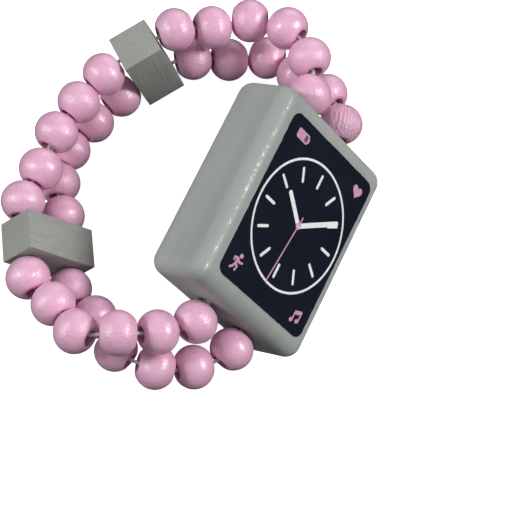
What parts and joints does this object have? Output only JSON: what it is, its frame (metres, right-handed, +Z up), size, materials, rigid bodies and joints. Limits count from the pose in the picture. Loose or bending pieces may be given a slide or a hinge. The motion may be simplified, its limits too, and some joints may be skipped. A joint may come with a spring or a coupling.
{
  "type": "toy wristwatch",
  "caption": "Wooden toy wristwatch, grey case with a printed dial on each face, on a two-strand elastic band of pink beads and grey spacer blocks",
  "frame": {"origin": "middle of the underside of the box round the resting watch, which lies on its band and on one long edge of its case", "axes": "+Z is up, +X is the 12 o'clock direction of the dials, and the front dial faces -Y and up"},
  "size_m": [0.0824, 0.0644, 0.0326],
  "materials": {
    "grey_paint": "wood painted grey green, satin",
    "grey_block_paint": "wood painted grey green, matt",
    "pink_paint": "wood painted pink, satin gloss",
    "navy_film": "printed film, matt",
    "white_print": "screen print, matt",
    "pink_print": "screen print, matt",
    "clear_elastic": "clear elastic cord"
  },
  "bodies": {
    "watch_case": {"case": "grey_paint", "front_dial": "navy_film", "back_dial": "navy_film", "front_marks": "white_print", "back_marks": "pink_print", "elastic_in_case": "clear_elastic"},
    "row_1": {"elastic_1": "clear_elastic"},
    "row_2": {"elastic_2": "clear_elastic"},
    "row_3": {"elastic_3": "clear_elastic"},
    "row_4": {"elastic_4": "clear_elastic"},
    "row_5": {"elastic_5": "clear_elastic"},
    "row_6": {"elastic_6": "clear_elastic"},
    "row_7": {"elastic_7": "clear_elastic"},
    "row_8": {"elastic_8": "clear_elastic"},
    "row_9": {"elastic_9": "clear_elastic"},
    "row_10": {"elastic_10": "clear_elastic"},
    "row_11": {"elastic_11": "clear_elastic"},
    "row_12": {"elastic_12": "clear_elastic"},
    "row_13": {"elastic_13": "clear_elastic"},
    "row_14": {"elastic_14": "clear_elastic"},
    "row_15": {"elastic_15": "clear_elastic"},
    "row_16": {"elastic_16": "clear_elastic"},
    "row_17": {"elastic_17": "clear_elastic"},
    "spacer_1": {"block_1": "grey_block_paint"},
    "spacer_2": {"block_2": "grey_block_paint"},
    "bead_left_1_body": {"bead_left_1": "pink_paint"},
    "bead_right_1_body": {"bead_right_1": "pink_paint"},
    "bead_left_2_body": {"bead_left_2": "pink_paint"},
    "bead_right_2_body": {"bead_right_2": "pink_paint"},
    "bead_left_3_body": {"bead_left_3": "pink_paint"},
    "bead_right_3_body": {"bead_right_3": "pink_paint"},
    "bead_left_4_body": {"bead_left_4": "pink_paint"},
    "bead_right_4_body": {"bead_right_4": "pink_paint"},
    "bead_left_5_body": {"bead_left_5": "pink_paint"},
    "bead_right_5_body": {"bead_right_5": "pink_paint"},
    "bead_left_6_body": {"bead_left_6": "pink_paint"},
    "bead_right_6_body": {"bead_right_6": "pink_paint"},
    "bead_left_7_body": {"bead_left_7": "pink_paint"},
    "bead_right_7_body": {"bead_right_7": "pink_paint"},
    "bead_left_8_body": {"bead_left_8": "pink_paint"},
    "bead_right_8_body": {"bead_right_8": "pink_paint"},
    "bead_left_9_body": {"bead_left_9": "pink_paint"},
    "bead_right_9_body": {"bead_right_9": "pink_paint"},
    "bead_left_10_body": {"bead_left_10": "pink_paint"},
    "bead_right_10_body": {"bead_right_10": "pink_paint"},
    "bead_left_11_body": {"bead_left_11": "pink_paint"},
    "bead_right_11_body": {"bead_right_11": "pink_paint"},
    "bead_left_12_body": {"bead_left_12": "pink_paint"},
    "bead_right_12_body": {"bead_right_12": "pink_paint"},
    "bead_left_13_body": {"bead_left_13": "pink_paint"},
    "bead_right_13_body": {"bead_right_13": "pink_paint"},
    "bead_left_14_body": {"bead_left_14": "pink_paint"},
    "bead_right_14_body": {"bead_right_14": "pink_paint"},
    "bead_left_15_body": {"bead_left_15": "pink_paint"},
    "bead_right_15_body": {"bead_right_15": "pink_paint"},
    "bead_left_16_body": {"bead_left_16": "pink_paint"},
    "bead_right_16_body": {"bead_right_16": "pink_paint"},
    "bead_left_17_body": {"bead_left_17": "pink_paint"},
    "bead_right_17_body": {"bead_right_17": "pink_paint"}
  },
  "joints": [
    {"name": "band_stretch", "type": "slide", "parent": "watch_case", "child": "row_9", "axis": [-0.0308, 0.9845, -0.1727], "range_m": [0, 0.00879], "stiffness_N_per_m": 300, "springref_m": -0.002},
    {"name": "row_1_stretch", "type": "slide", "parent": "watch_case", "child": "row_1", "axis": [-0.9999, -0.0118, -0.0025], "range_m": [0, 0.00505]},
    {"name": "row_2_stretch", "type": "slide", "parent": "watch_case", "child": "row_2", "axis": [-0.9879, 0.152, 0.0321], "range_m": [0, 0.00632]},
    {"name": "row_3_stretch", "type": "slide", "parent": "watch_case", "child": "row_3", "axis": [-0.9482, 0.2988, 0.1077], "range_m": [0, 0.00743]},
    {"name": "row_4_stretch", "type": "slide", "parent": "watch_case", "child": "row_4", "axis": [-0.8877, 0.456, 0.0634], "range_m": [0, 0.00825]},
    {"name": "row_5_stretch", "type": "slide", "parent": "watch_case", "child": "row_5", "axis": [-0.7928, 0.6093, 0.0129], "range_m": [0, 0.00828]},
    {"name": "row_6_stretch", "type": "slide", "parent": "watch_case", "child": "row_6", "axis": [-0.681, 0.7313, -0.0375], "range_m": [0, 0.00874]},
    {"name": "spacer_1_stretch", "type": "slide", "parent": "watch_case", "child": "spacer_1", "axis": [-0.5367, 0.8401, -0.0783], "range_m": [0, 0.0085]},
    {"name": "row_7_stretch", "type": "slide", "parent": "watch_case", "child": "row_7", "axis": [-0.3745, 0.921, -0.1068], "range_m": [0, 0.00871]},
    {"name": "row_8_stretch", "type": "slide", "parent": "watch_case", "child": "row_8", "axis": [-0.2105, 0.9657, -0.1521], "range_m": [0, 0.00875]},
    {"name": "row_10_stretch", "type": "slide", "parent": "watch_case", "child": "row_10", "axis": [0.1401, 0.975, -0.1727], "range_m": [0, 0.00862]},
    {"name": "row_11_stretch", "type": "slide", "parent": "watch_case", "child": "row_11", "axis": [0.3111, 0.9361, -0.1638], "range_m": [0, 0.00853]},
    {"name": "spacer_2_stretch", "type": "slide", "parent": "watch_case", "child": "spacer_2", "axis": [0.4882, 0.8608, -0.1438], "range_m": [0, 0.00832]},
    {"name": "row_12_stretch", "type": "slide", "parent": "watch_case", "child": "row_12", "axis": [0.6487, 0.7544, -0.1002], "range_m": [0, 0.00817]},
    {"name": "row_13_stretch", "type": "slide", "parent": "watch_case", "child": "row_13", "axis": [0.7718, 0.6179, -0.1502], "range_m": [0, 0.00796]},
    {"name": "row_14_stretch", "type": "slide", "parent": "watch_case", "child": "row_14", "axis": [0.8768, 0.4546, -0.1569], "range_m": [0, 0.00803]},
    {"name": "row_15_stretch", "type": "slide", "parent": "watch_case", "child": "row_15", "axis": [0.9497, 0.2998, -0.0909], "range_m": [0, 0.00732]},
    {"name": "row_16_stretch", "type": "slide", "parent": "watch_case", "child": "row_16", "axis": [0.9911, 0.1288, -0.0344], "range_m": [0, 0.00635]},
    {"name": "row_17_stretch", "type": "slide", "parent": "watch_case", "child": "row_17", "axis": [0.999, -0.0081, 0.0445], "range_m": [0, 0.00502]},
    {"name": "bead_left_1_spin", "type": "hinge", "parent": "row_1", "child": "bead_left_1_body", "pos_m": [-0.0248, -0.01267, 0.02028], "axis": [-0.9309, 0.3394, 0.1349], "continuous": true},
    {"name": "bead_right_1_spin", "type": "hinge", "parent": "row_1", "child": "bead_right_1_body", "pos_m": [-0.02446, -0.0207, 0.01223], "axis": [-0.9711, 0.2375, -0.024], "continuous": true},
    {"name": "bead_left_2_spin", "type": "hinge", "parent": "row_2", "child": "bead_left_2_body", "pos_m": [-0.0303, -0.00741, 0.02245], "axis": [-0.5883, 0.7419, 0.3218], "continuous": true},
    {"name": "bead_right_2_spin", "type": "hinge", "parent": "row_2", "child": "bead_right_2_body", "pos_m": [-0.03085, -0.01579, 0.01221], "axis": [-0.6503, 0.739, 0.1759], "continuous": true},
    {"name": "bead_left_3_spin", "type": "hinge", "parent": "row_3", "child": "bead_left_3_body", "pos_m": [-0.03442, -0.00112, 0.02545], "axis": [-0.4513, 0.892, 0.0278], "continuous": true},
    {"name": "bead_right_3_spin", "type": "hinge", "parent": "row_3", "child": "bead_right_3_body", "pos_m": [-0.03481, -0.00952, 0.01516], "axis": [-0.2779, 0.9458, 0.168], "continuous": true},
    {"name": "bead_left_4_spin", "type": "hinge", "parent": "row_4", "child": "bead_left_4_body", "pos_m": [-0.03707, 0.00619, 0.02299], "axis": [0.0781, 0.9255, -0.3707], "continuous": true},
    {"name": "bead_right_4_spin", "type": "hinge", "parent": "row_4", "child": "bead_right_4_body", "pos_m": [-0.03499, -0.00141, 0.01487], "axis": [0.2721, 0.9553, -0.1155], "continuous": true},
    {"name": "bead_left_5_spin", "type": "hinge", "parent": "row_5", "child": "bead_left_5_body", "pos_m": [-0.0336, 0.01243, 0.0202], "axis": [0.4285, 0.8373, -0.3395], "continuous": true},
    {"name": "bead_right_5_spin", "type": "hinge", "parent": "row_5", "child": "bead_right_5_body", "pos_m": [-0.03084, 0.00511, 0.0135], "axis": [0.4803, 0.8513, -0.211], "continuous": true},
    {"name": "bead_left_6_spin", "type": "hinge", "parent": "row_6", "child": "bead_left_6_body", "pos_m": [-0.03067, 0.01914, 0.01776], "axis": [0.6702, 0.6954, -0.2593], "continuous": true},
    {"name": "bead_right_6_spin", "type": "hinge", "parent": "row_6", "child": "bead_right_6_body", "pos_m": [-0.02771, 0.01187, 0.01161], "axis": [0.6674, 0.6994, -0.2556], "continuous": true},
    {"name": "bead_left_7_spin", "type": "hinge", "parent": "row_7", "child": "bead_left_7_body", "pos_m": [-0.01702, 0.02724, 0.01485], "axis": [0.9434, 0.2963, -0.1491], "continuous": true},
    {"name": "bead_right_7_spin", "type": "hinge", "parent": "row_7", "child": "bead_right_7_body", "pos_m": [-0.0145, 0.02001, 0.00852], "axis": [0.8102, 0.5292, -0.2522], "continuous": true},
    {"name": "bead_left_8_spin", "type": "hinge", "parent": "row_8", "child": "bead_left_8_body", "pos_m": [-0.00943, 0.0273, 0.01408], "axis": [0.9931, 0.0673, -0.096], "continuous": true},
    {"name": "bead_right_8_spin", "type": "hinge", "parent": "row_8", "child": "bead_right_8_body", "pos_m": [-0.00791, 0.0242, 0.00529], "axis": [0.9038, 0.3401, -0.2596], "continuous": true},
    {"name": "bead_left_9_spin", "type": "hinge", "parent": "row_9", "child": "bead_left_9_body", "pos_m": [-0.00125, 0.02812, 0.01335], "axis": [0.9992, -0.021, -0.0341], "continuous": true},
    {"name": "bead_right_9_spin", "type": "hinge", "parent": "row_9", "child": "bead_right_9_body", "pos_m": [-0.00043, 0.02568, 0.0041], "axis": [0.9962, 0.0173, -0.0853], "continuous": true},
    {"name": "bead_left_10_spin", "type": "hinge", "parent": "row_10", "child": "bead_left_10_body", "pos_m": [0.00617, 0.02703, 0.01355], "axis": [0.9821, -0.1853, 0.0349], "continuous": true},
    {"name": "bead_right_10_spin", "type": "hinge", "parent": "row_10", "child": "bead_right_10_body", "pos_m": [0.00691, 0.02409, 0.00423], "axis": [0.9703, -0.2406, 0.0264], "continuous": true},
    {"name": "bead_left_11_spin", "type": "hinge", "parent": "row_11", "child": "bead_left_11_body", "pos_m": [0.01337, 0.02525, 0.01403], "axis": [0.9199, -0.3798, 0.0973], "continuous": true},
    {"name": "bead_right_11_spin", "type": "hinge", "parent": "row_11", "child": "bead_right_11_body", "pos_m": [0.01415, 0.02166, 0.00466], "axis": [0.9045, -0.4181, 0.0842], "continuous": true},
    {"name": "bead_left_12_spin", "type": "hinge", "parent": "row_12", "child": "bead_left_12_body", "pos_m": [0.02697, 0.01667, 0.01718], "axis": [0.7245, -0.6886, 0.0306], "continuous": true},
    {"name": "bead_right_12_spin", "type": "hinge", "parent": "row_12", "child": "bead_right_12_body", "pos_m": [0.02693, 0.01204, 0.00729], "axis": [0.6332, -0.774, -0.003], "continuous": true},
    {"name": "bead_left_13_spin", "type": "hinge", "parent": "row_13", "child": "bead_left_13_body", "pos_m": [0.03147, 0.01061, 0.01534], "axis": [0.6073, -0.7853, -0.1201], "continuous": true},
    {"name": "bead_right_13_spin", "type": "hinge", "parent": "row_13", "child": "bead_right_13_body", "pos_m": [0.03082, 0.00566, 0.00537], "axis": [0.5143, -0.8466, -0.137], "continuous": true},
    {"name": "bead_left_14_spin", "type": "hinge", "parent": "row_14", "child": "bead_left_14_body", "pos_m": [0.03635, 0.0046, 0.0151], "axis": [0.3788, -0.9079, 0.1794], "continuous": true},
    {"name": "bead_right_14_spin", "type": "hinge", "parent": "row_14", "child": "bead_right_14_body", "pos_m": [0.03492, -0.00096, 0.00497], "axis": [0.1662, -0.9703, 0.1759], "continuous": true},
    {"name": "bead_left_15_spin", "type": "hinge", "parent": "row_15", "child": "bead_left_15_body", "pos_m": [0.03707, -0.00286, 0.01813], "axis": [-0.2369, -0.9222, 0.3058], "continuous": true},
    {"name": "bead_right_15_spin", "type": "hinge", "parent": "row_15", "child": "bead_right_15_body", "pos_m": [0.03326, -0.00804, 0.00787], "axis": [-0.2429, -0.9006, 0.3603], "continuous": true},
    {"name": "bead_left_16_spin", "type": "hinge", "parent": "row_16", "child": "bead_left_16_body", "pos_m": [0.03278, -0.0094, 0.01977], "axis": [-0.7335, -0.6444, 0.216], "continuous": true},
    {"name": "bead_right_16_spin", "type": "hinge", "parent": "row_16", "child": "bead_right_16_body", "pos_m": [0.03104, -0.01522, 0.01069], "axis": [-0.4607, -0.7941, 0.3963], "continuous": true},
    {"name": "bead_left_17_spin", "type": "hinge", "parent": "row_17", "child": "bead_left_17_body", "pos_m": [0.02534, -0.01275, 0.02117], "axis": [-0.9903, -0.1371, -0.0214], "continuous": true},
    {"name": "bead_right_17_spin", "type": "hinge", "parent": "row_17", "child": "bead_right_17_body", "pos_m": [0.02562, -0.02044, 0.0137], "axis": [-0.9596, -0.2788, 0.037], "continuous": true}
  ],
  "couplings": [
    {"joint": "row_1_stretch", "follows": "band_stretch", "ratio": 0.57195},
    {"joint": "row_2_stretch", "follows": "band_stretch", "ratio": 0.71585},
    {"joint": "row_3_stretch", "follows": "band_stretch", "ratio": 0.84252},
    {"joint": "row_4_stretch", "follows": "band_stretch", "ratio": 0.93636},
    {"joint": "row_5_stretch", "follows": "band_stretch", "ratio": 0.93899},
    {"joint": "row_6_stretch", "follows": "band_stretch", "ratio": 0.99193},
    {"joint": "spacer_1_stretch", "follows": "band_stretch", "ratio": 0.96467},
    {"joint": "row_7_stretch", "follows": "band_stretch", "ratio": 0.98801},
    {"joint": "row_8_stretch", "follows": "band_stretch", "ratio": 0.99234},
    {"joint": "row_10_stretch", "follows": "band_stretch", "ratio": 0.97844},
    {"joint": "row_11_stretch", "follows": "band_stretch", "ratio": 0.96795},
    {"joint": "spacer_2_stretch", "follows": "band_stretch", "ratio": 0.94373},
    {"joint": "row_12_stretch", "follows": "band_stretch", "ratio": 0.92673},
    {"joint": "row_13_stretch", "follows": "band_stretch", "ratio": 0.90258},
    {"joint": "row_14_stretch", "follows": "band_stretch", "ratio": 0.91094},
    {"joint": "row_15_stretch", "follows": "band_stretch", "ratio": 0.82972},
    {"joint": "row_16_stretch", "follows": "band_stretch", "ratio": 0.72034},
    {"joint": "row_17_stretch", "follows": "band_stretch", "ratio": 0.5683}
  ]
}
